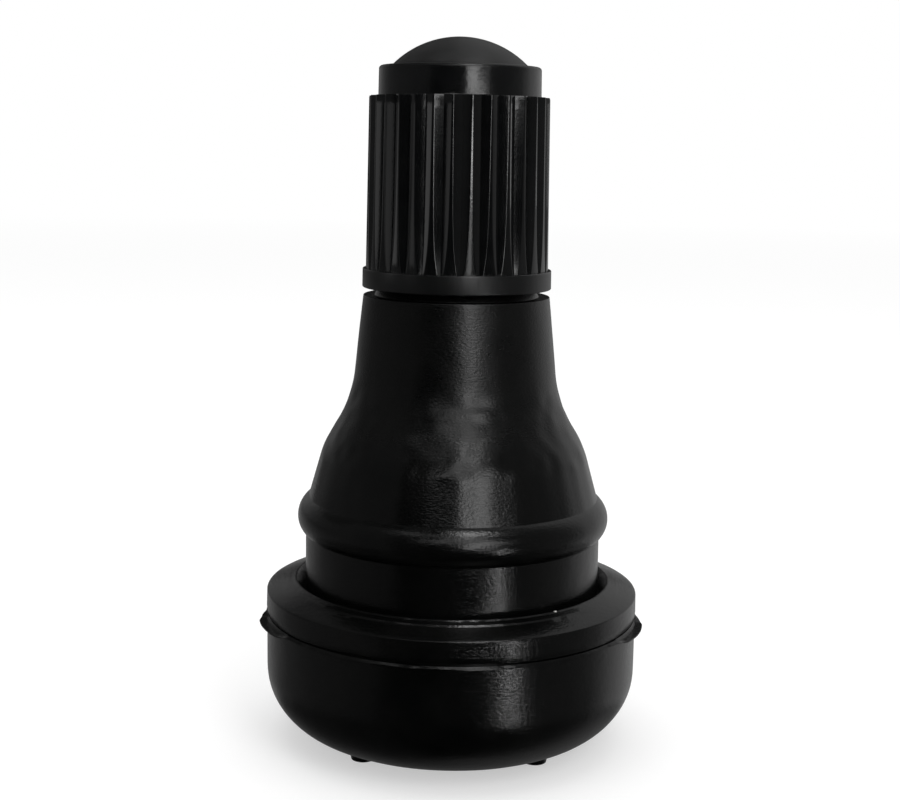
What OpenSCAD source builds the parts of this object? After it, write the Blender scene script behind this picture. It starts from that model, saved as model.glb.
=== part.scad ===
// Snap-in tyre valve: a moulded rubber body on a brass stem, a ribbed screw cap and a sprung valve core.
// Millimetres, +Z up along the axis, Z = 0 under the nubs of the base.

/* [Rubber body] */
// Height of the small moulding nubs under the base
nub_h = 0.5; // [0.3:0.05:0.8]
// Radius of one nub
nub_r = 0.65; // [0.4:0.05:0.9]
// Radius of the circle that the nubs stand on
nub_ring_r = 6.3; // [5:0.05:7]
// Number of nubs
nub_count = 4; // [3:1:8]
// Radius of the base's side wall
base_r = 9.89; // [9:0.01:11]
// Height from the base's underside to the flange's outer edge
base_h = 7.66; // [7:0.02:9]
// Radius of the rounded heel between underside and side wall
heel_r = 3.5; // [2:0.1:4.5]
// How far the moulding flash stands out of the side wall
flash_w = 0.33; // [0.1:0.01:0.5]
// Thickness of the flash at its root
flash_t = 0.22; // [0.1:0.01:0.4]
// Height of the flash below the flange's edge
flash_drop = 1.2; // [0.8:0.05:2]
// Rounding of the flange's outer edge
edge_round = 0.1; // [0.05:0.01:0.4]
// Rise of the flange's top from its edge to its inner lip
lip_rise = 0.62; // [0.4:0.02:0.9]
// Distance of the fine step on the flange's top from the edge
step_in = 0.92; // [0.6:0.02:1.1]
// Height of that step
step_h = 0.1; // [0.05:0.01:0.15]
// Width of the narrow V-shaped moat between the lip and the rim groove
moat_w = 0.5; // [0.3:0.02:0.6]
// Depth of the moat below the lip
moat_d = 0.64; // [0.3:0.02:0.8]
// Radius of the groove that the wheel rim sits in
groove_r = 7.83; // [7.4:0.01:8.2]
// Height from the flange's edge to the middle of the bead
groove_h = 3.98; // [3.2:0.02:5]
// How far the bead stands out of the groove
bead_out = 0.43; // [0.3:0.01:0.7]
// Section radius of the bead
bead_round = 1.25; // [1:0.05:1.6]
// Angle at which the bead's section runs into the cone
bead_end = 58; // [45:1:65]
// Height of the lower cone, from the bead's middle to the shoulder
cone_h = 3.7; // [3:0.05:5]
// Height of the steep cone, from the shoulder to the knee
slope_h = 2.64; // [2.2:0.02:3.4]
// Reduction of radius over the steep cone
slope_run = 1.52; // [1.1:0.02:1.7]
// Height of the slim neck
neck_h = 5.38; // [4.5:0.02:7]
// Reduction of radius over the neck
neck_taper = 0.55; // [0.3:0.01:0.7]
// Rubber wall round the stem at the neck's top
neck_wall = 1.06; // [0.8:0.01:1.4]
// Rounding of the shoulder
shoulder_round = 5; // [2:0.5:7]
// Rounding of the knee
knee_round = 6.5; // [3:0.5:8]
// How far the thin rubber sleeve round the stem reaches into the cap's counterbore
sleeve_in = 0.14; // [0.05:0.01:0.3]
// Clearance between the sleeve's top and the counterbore
sleeve_gap = 0.18; // [0.12:0.01:0.2]
// How much wider the sleeve's foot is than its top
sleeve_flare = 0.28; // [0.1:0.02:0.4]
// Radius of the air mouth in the underside
mouth_r = 2.2; // [1.8:0.05:2.6]
// Chamfer of the air mouth
mouth_chamfer = 0.5; // [0.2:0.05:0.8]

/* [Brass stem] */
// Outer radius of the threaded end
thread_r = 3.82; // [3.7:0.01:4]
// Length of the threaded end above the rubber
thread_len = 9.36; // [8.5:0.02:11]
// Chamfer at the stem's mouth and at its outer edge
stem_chamfer = 0.35; // [0.2:0.05:0.5]
// Radius of the shank inside the rubber
shank_r = 3.3; // [3:0.05:3.6]
// Depth of the threaded end's plain root inside the rubber
root_depth = 2.2; // [1.5:0.1:3]
// How far the grip rings stand out of the shank
ring_out = 0.35; // [0.2:0.05:0.5]
// Height of one grip ring
ring_h = 0.8; // [0.5:0.05:1.1]
// Number of grip rings
ring_count = 5; // [3:1:6]
// Radius of the foot flange
foot_r = 4.7; // [4.2:0.05:5.4]
// Height of the foot flange
foot_h = 1.2; // [0.8:0.05:1.6]
// Thickness of the rubber under the foot
foot_cover = 2.1; // [1.5:0.05:3]
// Radius of the air bore
air_r = 1.5; // [1.2:0.05:1.8]
// Film of adhesive between rubber and stem
bond_film = 0.02; // [0.01:0.01:0.05]

/* [Valve core] */
// Radius of the plug's thread
plug_r = 2.5; // [2.4:0.02:2.7]
// Depth of the plug's top below the stem's mouth
plug_recess = 2.2; // [1.8:0.05:2.8]
// Height of the plug's threaded ring
plug_ring_h = 2.4; // [1.8:0.05:3]
// Height of the tang above the threaded ring
tang_h = 1.2; // [0.9:0.05:1.6]
// Depth of the tang inside the threaded ring
tang_root = 1; // [0.6:0.05:1.4]
// Thickness of the tang
tang_t = 1.8; // [1.5:0.05:2]
// Radius of the plug's air bore
plug_bore_r = 1.6; // [1.45:0.02:1.7]
// Height of the skirt that holds the barrel's head
skirt_h = 1.2; // [1.1:0.05:1.5]
// Wall of that skirt
skirt_t = 0.28; // [0.2:0.02:0.34]
// Height of the skirt's rolled lip
roll_h = 0.3; // [0.2:0.02:0.36]
// Radius of the barrel's head
head_r = 1.88; // [1.82:0.01:1.94]
// Height of the barrel's head
head_h = 0.6; // [0.5:0.02:0.66]
// Radius of the barrel's neck
barrel_neck_r = 1.58; // [1.52:0.01:1.64]
// Radius of the barrel where the gasket sits
gasket_seat_r = 1.46; // [1.4:0.01:1.5]
// Height of the gasket
gasket_h = 1.4; // [1.1:0.05:1.7]
// Outer radius of the gasket's upper end
gasket_top_r = 2.3; // [2.26:0.01:2.36]
// Outer radius of the gasket's lower end
gasket_low_r = 1.93; // [1.88:0.01:1.98]
// Radius of the barrel's body
barrel_r = 1.72; // [1.66:0.01:1.78]
// Length of the barrel's body below the gasket
barrel_len = 3.7; // [3.2:0.05:4.5]
// Radius of the barrel's inside
barrel_bore_r = 1.3; // [1.26:0.01:1.34]
// Thickness of the barrel's floor, which the spring stands on
floor_t = 0.5; // [0.4:0.02:0.7]
// Radius of the pin
pin_r = 0.55; // [0.5:0.01:0.6]
// Depth of the pin's tip below the stem's mouth
pin_recess = 0.4; // [0.2:0.05:0.6]
// Running clearance of the pin in its holes
pin_play = 0.1; // [0.08:0.01:0.12]
// Radius of the pin's collar
pin_collar_r = 1.12; // [1.08:0.01:1.16]
// Height of the pin's collar
pin_collar_h = 0.4; // [0.3:0.02:0.5]
// Radius of the head under the cup
pin_head_r = 1; // [0.85:0.05:1.2]
// Height of the head under the cup
pin_head_h = 0.4; // [0.3:0.05:0.6]
// Outer radius of the seal cup
cup_r = 1.74; // [1.68:0.01:1.8]
// Wall of the seal cup
cup_t = 0.16; // [0.12:0.01:0.2]
// Height of the cup's seal
cup_seal_h = 0.7; // [0.5:0.05:0.9]
// How far that seal stands out of the cup
cup_seal_out = 0.2; // [0.1:0.02:0.3]
// Travel of the pin
pin_travel = 1.5; // [1:0.1:1.8]
// Room below the pin at the end of its travel
travel_room = 0.5; // [0.3:0.05:1]
// Radius of the spring's wire
wire_r = 0.13; // [0.1:0.01:0.15]
// Number of turns of the spring
spring_turns = 8; // [6:1:9]
// Clearance between pieces that are screwed, rolled or laid together
core_fit = 0.05; // [0.03:0.01:0.06]

/* [Cap] */
// Gap between the neck's top and the cap's rim
cap_gap = 0.41; // [0.2:0.01:0.8]
// Running clearance of the cap round the stem's thread
cap_fit = 0.08; // [0.05:0.01:0.1]
// Wall left between the cap's bore and the ribs' grooves
cap_wall = 0.52; // [0.4:0.01:0.6]
// Height of the plain rim band
rim_h = 1; // [0.7:0.02:1.4]
// How far the rim band's top stands out of the ribs
rim_step = 0.1; // [0.04:0.01:0.15]
// Flare of the rim band from its top to its lower edge
rim_flare = 0.08; // [0.04:0.01:0.2]
// Depth of the counterbore inside the rim
lead_h = 0.7; // [0.4:0.05:1]
// Width of the counterbore beyond the bore
lead_w = 0.3; // [0.15:0.01:0.36]
// Number of ribs
rib_count = 30; // [24:1:36]
// Angle from +X to the middle of the first groove
rib_turn = 7.7; // [0:0.1:15]
// Depth of the grooves at the ribs' upper end
rib_depth_top = 0.24; // [0.2:0.01:0.26]
// Depth of the grooves where their run-out starts
rib_depth_mid = 0.2; // [0.15:0.01:0.24]
// Depth of the grooves at the rim
rib_depth_low = 0.08; // [0.04:0.01:0.15]
// Height of the run-out above the rim, over which the ribs broaden
run_out_h = 2; // [1:0.1:4]
// Opening angle of a groove
groove_angle = 124; // [100:1:126]
// Draft of the ribs: how much wider they are at the rim than at the top
rib_draft = 0.1; // [0.06:0.01:0.2]
// Height of the collar above the ribs
collar_h = 1.53; // [1:0.02:2]
// How far the collar lies inside the grooves' upper ends
collar_set = 0.23; // [0.05:0.01:0.3]
// Width of the flat between the collar's edge and the dome
dome_set = 0.65; // [0.4:0.01:1]
// Height of the dome
dome_h = 1.5; // [1.2:0.02:2]
// Rounding of the collar's edge
collar_round = 0.12; // [0.06:0.01:0.2]
// Rounding of the rim's edges
rim_round = 0.06; // [0.03:0.01:0.08]
// Thickness of the cap's seal
seal_t = 0.8; // [0.6:0.02:1.1]
// Inner radius of the cap's seal
seal_bore_r = 2.6; // [2.4:0.05:3]
// Clearance above and below the cap's seal
seal_gap = 0.02; // [0.01:0.01:0.05]
// Radius of the hollow in the cap's roof
hollow_r = 2.4; // [2:0.05:2.5]
// Height of that hollow
hollow_h = 1.6; // [1.2:0.05:1.8]

/* [Hidden] */
$fn = 96;
arc_step = 10;
over = 1;
rubber_black = [0.07, 0.07, 0.07];
cap_black = [0.09, 0.09, 0.1];
brass = [0.72, 0.57, 0.28];
steel = [0.7, 0.7, 0.72];

// Heights of the rubber body, from the nubs' feet up
underside_z = nub_h;
flange_z = underside_z + base_h;
flash_z = flange_z - flash_drop;
lip_z = flange_z + lip_rise;
bead_z = flange_z + groove_h;
shoulder_z = bead_z + cone_h;
knee_z = shoulder_z + slope_h;
rubber_top_z = knee_z + neck_h;

// Radii of the rubber body
lip_r = groove_r + moat_w;
bead_centre_r = groove_r + bead_out - bead_round;
neck_top_r = thread_r + neck_wall;
knee_r = neck_top_r + neck_taper;
shoulder_r = knee_r + slope_run;
sleeve_r = thread_r + cap_fit + lead_w - sleeve_gap;
sleeve_top_z = rubber_top_z + cap_gap + sleeve_in;

// The stem
stem_top_z = rubber_top_z + thread_len;
foot_z = underside_z + foot_cover;
foot_top_z = foot_z + foot_h;
root_z = rubber_top_z - root_depth;
ring_pitch = (root_z - foot_top_z) / (ring_count + 1);
chamber_r = plug_r + core_fit;

// The core, from the stem's mouth down
pin_top_z = stem_top_z - pin_recess;
plug_top_z = stem_top_z - plug_recess;
ring_top_z = plug_top_z - tang_h;
ring_low_z = ring_top_z - plug_ring_h;
plug_low_z = ring_low_z - skirt_h;
head_z = plug_low_z + roll_h + core_fit;
head_top_z = head_z + head_h;
skirt_bore_r = head_r + core_fit;
skirt_r = skirt_bore_r + skirt_t;
gasket_top_z = plug_low_z - core_fit;
gasket_low_z = gasket_top_z - gasket_h;
seat_z = gasket_low_z - barrel_len;
floor_z = seat_z + floor_t;
pin_hole_r = pin_r + pin_play;
floor_hole_r = pin_r + 2 * pin_play;
pin_collar_z = head_top_z - pin_collar_h;
cup_seal_z = seat_z - core_fit - cup_seal_h;
cup_z = cup_seal_z - cup_t;
cup_top_z = cup_seal_z + cup_seal_h - cup_seal_out;
pin_low_z = cup_z - pin_head_h;
chamber_low_z = pin_low_z - pin_travel - travel_room;
taper = (gasket_top_r - gasket_low_r) / gasket_h;
seat_top_r = gasket_top_r + core_fit;
seat_low_r = gasket_low_r + core_fit;
seat_cone_z = gasket_top_z + (chamber_r - seat_top_r) / taper;
spring_r = (pin_r + barrel_bore_r) / 2;

// The cap
cap_z = rubber_top_z + cap_gap;
cap_bore_r = thread_r + cap_fit;
rib_z = cap_z + rim_h;
roof_z = stem_top_z + seal_t + 2 * seal_gap;
collar_z = roof_z + collar_h;
groove_top_r = cap_bore_r + cap_wall;
rib_top_r = groove_top_r + rib_depth_top;
rib_low_r = rib_top_r + rib_draft;
rib_len = roof_z - rib_z;
rib_mid_r = rib_low_r - rib_draft * run_out_h / rib_len;
groove_mid_r = rib_mid_r - rib_depth_mid;
groove_low_r = rib_low_r - rib_depth_low;
collar_r = groove_top_r - collar_set;
dome_r = collar_r - dome_set;
dome_sphere_r = (dome_r * dome_r + dome_h * dome_h) / (2 * dome_h);

function unit(v) = v / norm(v);
function turned(v, a) = [v.x * cos(a) - v.y * sin(a), v.x * sin(a) + v.y * cos(a)];

// Points of the arc that rounds the corner b between a and c
function corner(a, b, c, r) =
    let (u = unit(a - b),
         v = unit(c - b),
         half = acos(u * v) / 2,
         centre = b + unit(u + v) * r / sin(half),
         first = b + u * r / tan(half) - centre,
         last = b + v * r / tan(half) - centre,
         sweep = sign(cross(first, last)) * (180 - 2 * half),
         steps = max(2, ceil(abs(sweep) / arc_step)))
    [for (i = [0:steps]) centre + turned(first, sweep * i / steps)];

// Path of corners [radius, height, rounding] with each rounding worked out
function rounded(path) =
    [for (i = [0:len(path) - 1])
        let (p = path[i], b = [p[0], p[1]])
        each p[2] == 0 ? [b] : corner([path[i - 1][0], path[i - 1][1]], b, [path[i + 1][0], path[i + 1][1]], p[2])];

// Points of an arc round a centre, from angle a0 to a1
function arc(centre, r, a0, a1) =
    let (steps = max(2, ceil(abs(a1 - a0) / arc_step)))
    [for (i = [0:steps]) centre + r * [cos(a0 + (a1 - a0) * i / steps), sin(a0 + (a1 - a0) * i / steps)]];

// Ring of radius inner to outer between two heights
module ring(outer, inner, z0, z1) {
    translate([0, 0, z0])
        difference() {
            cylinder(r = outer, h = z1 - z0);
            translate([0, 0, -over])
                cylinder(r = inner, h = z1 - z0 + 2 * over);
        }
}

// Outline of the stem, grown by a film on each side
function stem_outline(grow) = concat(
    [[0, foot_z - grow],
     [foot_r + grow, foot_z - grow],
     [foot_r + grow, foot_top_z + grow]],
    [for (i = [1:ring_count])
        let (mid = foot_top_z + i * ring_pitch)
        each [[shank_r + grow, mid - ring_h / 2 - grow],
              [shank_r + ring_out + grow, mid - ring_h / 4],
              [shank_r + ring_out + grow, mid + ring_h / 4],
              [shank_r + grow, mid + ring_h / 2 + grow]]],
    [[shank_r + grow, root_z - (thread_r - shank_r) - grow],
     [thread_r + grow, root_z - grow],
     [thread_r + grow, stem_top_z - stem_chamfer],
     [thread_r - stem_chamfer + grow, stem_top_z + grow],
     [0, stem_top_z + grow]]);

// Outline of the rubber body, from the axis under the base to the axis at the neck's top
function rubber_outline() =
    let (bead_low = asin((bead_round - bead_out) / bead_round),
         step_r = base_r - step_in,
         step_z = flange_z + lip_rise * step_in / (base_r - lip_r) - step_h)
    concat(
        rounded([
            [0, underside_z, 0],
            [base_r, underside_z, heel_r],
            [base_r, flash_z - flash_t / 2, 0],
            [base_r + flash_w, flash_z, 0],
            [base_r, flash_z + flash_t / 2, 0],
            [base_r, flange_z, edge_round],
            [step_r, step_z, 0],
            [step_r, step_z + step_h, 0],
            [lip_r, lip_z, 0],
            [groove_r, lip_z - moat_d, 0]]),
        arc([bead_centre_r, bead_z], bead_round, bead_low - 90, bead_end),
        rounded([
            [bead_centre_r + bead_round * cos(bead_end), bead_z + bead_round * sin(bead_end), 0],
            [shoulder_r, shoulder_z, shoulder_round],
            [knee_r, knee_z, knee_round],
            [neck_top_r, rubber_top_z, 0],
            [sleeve_r + sleeve_flare, rubber_top_z, 0],
            [sleeve_r, sleeve_top_z, 0],
            [0, sleeve_top_z, 0]]));

module rubber_body() {
    color(rubber_black)
        difference() {
            union() {
                rotate_extrude()
                    polygon(rubber_outline());
                for (i = [0:nub_count - 1])
                    rotate([0, 0, (i + 0.5) * 360 / nub_count])
                        translate([nub_ring_r, 0, 0])
                            cylinder(r = nub_r, h = nub_h + nub_r, $fn = 32);
            }
            rotate_extrude()
                polygon(stem_outline(bond_film));
            translate([0, 0, underside_z - over])
                cylinder(r = mouth_r, h = foot_cover + over);
            translate([0, 0, underside_z])
                cylinder(r1 = mouth_r + mouth_chamfer, r2 = mouth_r, h = mouth_chamfer);
        }
}

module valve_stem() {
    color(brass)
        difference() {
            rotate_extrude()
                polygon(stem_outline(0));
            rotate_extrude()
                polygon([
                    [0, foot_z - over],
                    [air_r, foot_z - over],
                    [air_r, chamber_low_z],
                    [seat_low_r, chamber_low_z],
                    [seat_low_r, gasket_low_z],
                    [chamber_r, seat_cone_z],
                    [chamber_r, stem_top_z - stem_chamfer],
                    [chamber_r + stem_chamfer + over, stem_top_z + over],
                    [0, stem_top_z + over]]);
        }
}

module core_plug() {
    color(brass)
        difference() {
            union() {
                ring(plug_r, plug_bore_r, ring_low_z, ring_top_z);
                ring(skirt_r, skirt_bore_r, plug_low_z, ring_low_z);
                ring(skirt_r, barrel_neck_r + core_fit, plug_low_z, plug_low_z + roll_h);
                intersection() {
                    translate([0, 0, ring_top_z - tang_root])
                        cylinder(r = plug_r - stem_chamfer, h = tang_h + tang_root);
                    translate([-plug_r, -tang_t / 2, ring_top_z - tang_root])
                        cube([2 * plug_r, tang_t, tang_h + tang_root]);
                }
            }
            translate([0, 0, plug_low_z])
                cylinder(r = pin_hole_r, h = plug_top_z - plug_low_z + over);
        }
}

module core_barrel() {
    color(brass)
        rotate_extrude()
            polygon([
                [floor_hole_r, seat_z],
                [barrel_r, seat_z],
                [barrel_r, gasket_low_z],
                [gasket_seat_r, gasket_low_z],
                [gasket_seat_r, gasket_top_z],
                [barrel_neck_r, gasket_top_z],
                [barrel_neck_r, head_z],
                [head_r, head_z],
                [head_r, head_top_z],
                [barrel_bore_r, head_top_z],
                [barrel_bore_r, floor_z],
                [floor_hole_r, floor_z]]);
}

module barrel_gasket() {
    color("firebrick")
        rotate_extrude()
            polygon([
                [gasket_seat_r, gasket_low_z],
                [gasket_low_r, gasket_low_z],
                [gasket_top_r, gasket_top_z],
                [gasket_seat_r, gasket_top_z]]);
}

module core_pin() {
    color(brass) {
        translate([0, 0, cup_z])
            cylinder(r = pin_r, h = pin_top_z - pin_r / 2 - cup_z);
        translate([0, 0, pin_top_z - pin_r / 2])
            cylinder(r1 = pin_r, r2 = pin_r / 2, h = pin_r / 2);
        translate([0, 0, pin_collar_z])
            cylinder(r = pin_collar_r, h = pin_collar_h);
        translate([0, 0, pin_low_z])
            cylinder(r = pin_head_r, h = pin_head_h);
    }
}

module seal_cup() {
    color(brass)
        rotate_extrude()
            polygon([
                [pin_r, cup_z],
                [cup_r, cup_z],
                [cup_r, cup_top_z],
                [cup_r - cup_t, cup_top_z],
                [cup_r - cup_t, cup_seal_z],
                [pin_r, cup_seal_z]]);
}

module cup_seal() {
    color(rubber_black)
        ring(cup_r - cup_t, pin_r, cup_seal_z, cup_seal_z + cup_seal_h);
}

// Coil spring: a wire of six sides swept along a helix between the barrel's floor and the pin's collar
module core_spring() {
    sides = 6;
    per_turn = 12;
    rings = spring_turns * per_turn;
    low = floor_z + wire_r + core_fit;
    high = pin_collar_z - wire_r - core_fit;
    points = [for (i = [0:rings])
        let (a = i * 360 / per_turn, z = low + (high - low) * i / rings)
        for (k = [0:sides - 1])
            let (w = k * 360 / sides, r = spring_r + wire_r * cos(w))
            [r * cos(a), r * sin(a), z + wire_r * sin(w)]];
    walls = [for (i = [0:rings - 1], k = [0:sides - 1])
        let (n = (k + 1) % sides)
        [i * sides + k, (i + 1) * sides + k, (i + 1) * sides + n, i * sides + n]];
    first_end = [for (k = [0:sides - 1]) k];
    last_end = [for (k = [sides - 1:-1:0]) rings * sides + k];
    color(steel)
        polyhedron(points, concat(walls, [first_end, last_end]));
}

// Star-shaped core with a V-shaped notch between each two ribs: the notches run out above the rim
module rib_core() {
    sides = 2 * rib_count;
    half_pitch = 180 / rib_count;
    spread = tan(groove_angle / 2);
    peak = spread / (spread - tan(half_pitch)) / cos(half_pitch);
    low_slope = (groove_low_r - groove_mid_r) / run_out_h;
    top_slope = (groove_mid_r - groove_top_r) / (rib_len - run_out_h);
    stations = [[groove_low_r + low_slope * over, rib_z - over],
                [groove_mid_r, rib_z + run_out_h],
                [groove_top_r - top_slope * 2 * over, roof_z + 2 * over]];
    points = [for (s = stations, k = [0:sides - 1])
        let (r = k % 2 == 0 ? s.x : s.x * peak, a = rib_turn + k * half_pitch)
        [r * cos(a), r * sin(a), s.y]];
    walls = [for (i = [0, sides], k = [0:sides - 1])
        let (n = (k + 1) % sides)
        [i + k, i + sides + k, i + sides + n, i + n]];
    foot = [for (k = [0:sides - 1]) k];
    top = [for (k = [sides - 1:-1:0]) 2 * sides + k];
    polyhedron(points, concat([foot], walls, [top]));
}

// Ring that cuts the grooves: everything round the star-shaped core, from the rim up
module rib_cutter() {
    difference() {
        translate([0, 0, rib_z])
            cylinder(r = rib_low_r + over, h = rib_len + over);
        rib_core();
    }
}

// Outline of the cap's outside, from the axis at the rim to the top of the dome
function cap_outline() =
    let (half = asin(dome_r / dome_sphere_r),
         dome = arc([0, collar_z + dome_h - dome_sphere_r], dome_sphere_r, 90 - half, 90))
    concat(
        rounded([
            [0, cap_z, 0],
            [rib_low_r + rim_step + rim_flare, cap_z, rim_round],
            [rib_low_r + rim_step, rib_z, rim_round],
            [rib_low_r, rib_z, 0],
            [rib_top_r, roof_z, 0],
            [collar_r, roof_z, 0],
            [collar_r, collar_z, collar_round],
            [dome_r, collar_z, 0]]),
        [for (i = [1:len(dome) - 1]) dome[i]]);

module valve_cap() {
    color(cap_black)
        difference() {
            rotate_extrude()
                polygon(cap_outline());
            rib_cutter();
            translate([0, 0, cap_z - over])
                cylinder(r = cap_bore_r, h = roof_z - cap_z + over);
            translate([0, 0, cap_z - over])
                cylinder(r = cap_bore_r + lead_w, h = lead_h + over);
            translate([0, 0, roof_z - over])
                cylinder(r = hollow_r, h = hollow_h + over);
        }
}

module cap_seal() {
    color(rubber_black)
        ring(thread_r, seal_bore_r, stem_top_z + seal_gap, stem_top_z + seal_gap + seal_t);
}

rubber_body();
valve_stem();
valve_cap();
cap_seal();
core_plug();
core_barrel();
barrel_gasket();
core_pin();
seal_cup();
cup_seal();
core_spring();
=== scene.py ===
"""Looks of a snap-in tyre valve: moulded rubber body, ribbed cap, cut threads and the pieces of its core.

Lengths are written in millimetres and turned into metres when a mesh is made, unless a comment says
otherwise.
Azimuths are in degrees, 0 in front and positive to the right.
"""
import math

import bmesh
import bpy
from mathutils import Matrix, Vector, noise


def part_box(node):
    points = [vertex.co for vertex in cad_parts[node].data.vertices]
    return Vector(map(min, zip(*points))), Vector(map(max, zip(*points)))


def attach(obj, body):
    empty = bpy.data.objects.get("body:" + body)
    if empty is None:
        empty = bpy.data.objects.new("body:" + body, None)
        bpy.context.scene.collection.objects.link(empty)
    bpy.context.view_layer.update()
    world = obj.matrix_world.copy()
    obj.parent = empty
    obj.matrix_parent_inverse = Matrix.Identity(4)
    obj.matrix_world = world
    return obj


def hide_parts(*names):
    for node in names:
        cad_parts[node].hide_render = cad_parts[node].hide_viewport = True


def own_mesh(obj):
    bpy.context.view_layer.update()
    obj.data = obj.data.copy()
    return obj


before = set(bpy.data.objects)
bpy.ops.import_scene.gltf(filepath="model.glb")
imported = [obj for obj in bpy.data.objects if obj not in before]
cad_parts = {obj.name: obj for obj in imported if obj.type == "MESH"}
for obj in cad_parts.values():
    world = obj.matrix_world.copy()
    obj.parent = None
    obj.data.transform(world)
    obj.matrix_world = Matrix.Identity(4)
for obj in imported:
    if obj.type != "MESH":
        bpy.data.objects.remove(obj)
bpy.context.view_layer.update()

MM = 0.001
TURN = 2 * math.pi


def low(node):
    """Height of a CAD node's lowest point, in millimetres."""
    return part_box(node)[0].z / MM


def high(node):
    """Height of a CAD node's highest point, in millimetres."""
    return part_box(node)[1].z / MM


# Rubber body: radii and heights of its outline
BODY_COLUMNS = 360
NUB_H = 0.5
NUB_R = 0.65
NUB_SUNK = 0.3
NUB_RING_R = 6.3
NUB_COUNT = 4
NUB_COLUMNS = 24
BASE_R = 9.89
HEEL_R = 3.5
FLANGE_Z = 8.16
FLANGE_ROUND = 0.07
FLANGE_EDGE_Z = FLANGE_Z - 0.1
FLASH_Z = 6.86
FOOT_END_Z = FLASH_Z - 0.45
WALL_START_Z = FLASH_Z + 0.4
WALL_BULGE = 0.02
LIP_R = 8.34
LIP_Z = 8.78
GROOVE_R = 7.83
GROOVE_CORNER = 0.2
MOAT_Z = 8.14
BEAD_Z = 12.14
BEAD_OUT = 0.43
BEAD_ROUND = 1.25
BEAD_END = 58
SHOULDER_R = 6.95
SHOULDER_Z = 15.84
SHOULDER_ROUND = 5.0
KNEE_R = 5.43
KNEE_Z = 18.48
KNEE_ROUND = 6.5
NECK_TOP_R = 4.88
NECK_TOP_ROUND = 0.05
MOUTH_R = 2.2
MOUTH_CHAMFER = 0.5
CAP_GAP = 0.41
BODY_TOP = low("valve_cap") - CAP_GAP
SLEEVE_R = 4.02
SLEEVE_FOOT_R = 4.3
SLEEVE_H = 0.55

# Fine step between the flange's edge and its lip: radius and height of foot, top and inner end
STEP_FOOT = (8.86, 8.56)
STEP_TOP = (8.78, 8.64)
STEP_END = (8.45, 8.71)

# Stem and its threads
STEM_COLUMNS = 120
THREAD_R = 3.82
THREAD_DEPTH = 0.44
THREAD_PITCH = 0.79375
THREAD_Z = BODY_TOP + 0.7
THREAD_RUN = 0.5
STEM_TOP = high("valve_stem")
STEM_CHAMFER = 0.35
STEM_CHAMFER_SLOPE = 0.9
SHANK_R = 3.3
FOOT_R = 4.7
FOOT_Z = low("valve_stem")
FOOT_TOP = FOOT_Z + 1.2
ROOT_Z = BODY_TOP - 2.2
BOND_FILM = 0.02
AIR_R = 1.5
CUP_ROOM_R = 1.98
CUP_ROOM_Z = low("core_pin") - 2.0
SEAT_Z = low("barrel_gasket")
CHAMBER_R = 2.55
CHAMBER_Z = SEAT_Z + 2.6
CORE_THREAD_PITCH = 0.70556
CORE_THREAD_DEPTH = 0.26
# The core's thread fades in and out between these heights
CORE_THREAD_IN = (SEAT_Z + 5.2, SEAT_Z + 5.6)
CORE_THREAD_OUT = (STEM_TOP - 0.6, STEM_TOP - 0.3)

# Cap
CAP_Z = low("valve_cap")
CAP_TOP = high("valve_cap")
CAP_H = CAP_TOP - CAP_Z
RIM_H = 1.0
RIM_TOP_R = 4.93
RIM_LOW_R = 4.94
RIM_ROUND = 0.06
RIB_COUNT = 30
RIB_PHASE = math.radians(7.7)
RIB_WALL = math.radians(27)
RIB_SOFT = 0.02
RIB_Z = CAP_Z + RIM_H
ROOF_Z = high("cap_seal") + 0.02
RIB_H = ROOF_Z - RIB_Z
RIB_TOP_R = 4.66
RIB_LOW_R = 4.76
RIB_DEPTH_TOP = 0.23
RIB_DEPTH_MID = 0.205
RIB_DEPTH_LOW = 0.082
RIB_RUN_OUT = 1.2
RIB_SHARES = (0.0, 0.02, 0.05, 0.08, 0.12, 0.16, 0.2, 0.25, 0.3, 0.38, 0.5, 0.65, 0.8, 0.92, 0.99, 1.0)
COLLAR_R = 4.19
COLLAR_Z = ROOF_Z + 1.53
COLLAR_ROUND = 0.17
DOME_R = 3.54
CAP_BORE_R = 3.9
CAP_LEAD_R = 4.2
CAP_THREAD_Z = CAP_Z + 0.7
CAP_THREAD_END = ROOF_Z - 2.0
HOLLOW_R = 2.4
HOLLOW_H = 1.6
HOLLOW_CHAMFER = 0.4

# Core spring
SPRING_TURNS = 8
SPRING_STEPS = 28
WIRE_R = 0.13
WIRE_SIDES = 10


# Outlines
def fillet(a, b, c, radius, steps):
    """Points of the arc that rounds corner b between a and c."""
    a, b, c = Vector(a), Vector(b), Vector(c)
    u, v = (a - b).normalized(), (c - b).normalized()
    half = math.acos(max(-1.0, min(1.0, u.dot(v)))) / 2
    centre = b + (u + v).normalized() * radius / math.sin(half)
    first = b + u * radius / math.tan(half) - centre
    last = b + v * radius / math.tan(half) - centre
    sweep = math.copysign(math.pi - 2 * half, first.x * last.y - first.y * last.x)
    return [tuple(centre + Matrix.Rotation(sweep * i / steps, 2) @ first) for i in range(steps + 1)]


def outline(corners, steps):
    """Path through corners (radius, height) or (radius, height, rounding)."""
    path = []
    for i, p in enumerate(corners):
        if len(p) == 3:
            path += fillet(corners[i - 1][:2], p[:2], corners[i + 1][:2], p[2], steps)
        else:
            path.append(tuple(p))
    return path


def arc(centre, radius, start, end, steps):
    """Points on an arc round a centre, angles in degrees."""
    angles = [math.radians(start + (end - start) * i / steps) for i in range(steps + 1)]
    return [(centre[0] + radius * math.cos(t), centre[1] + radius * math.sin(t)) for t in angles]


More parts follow.
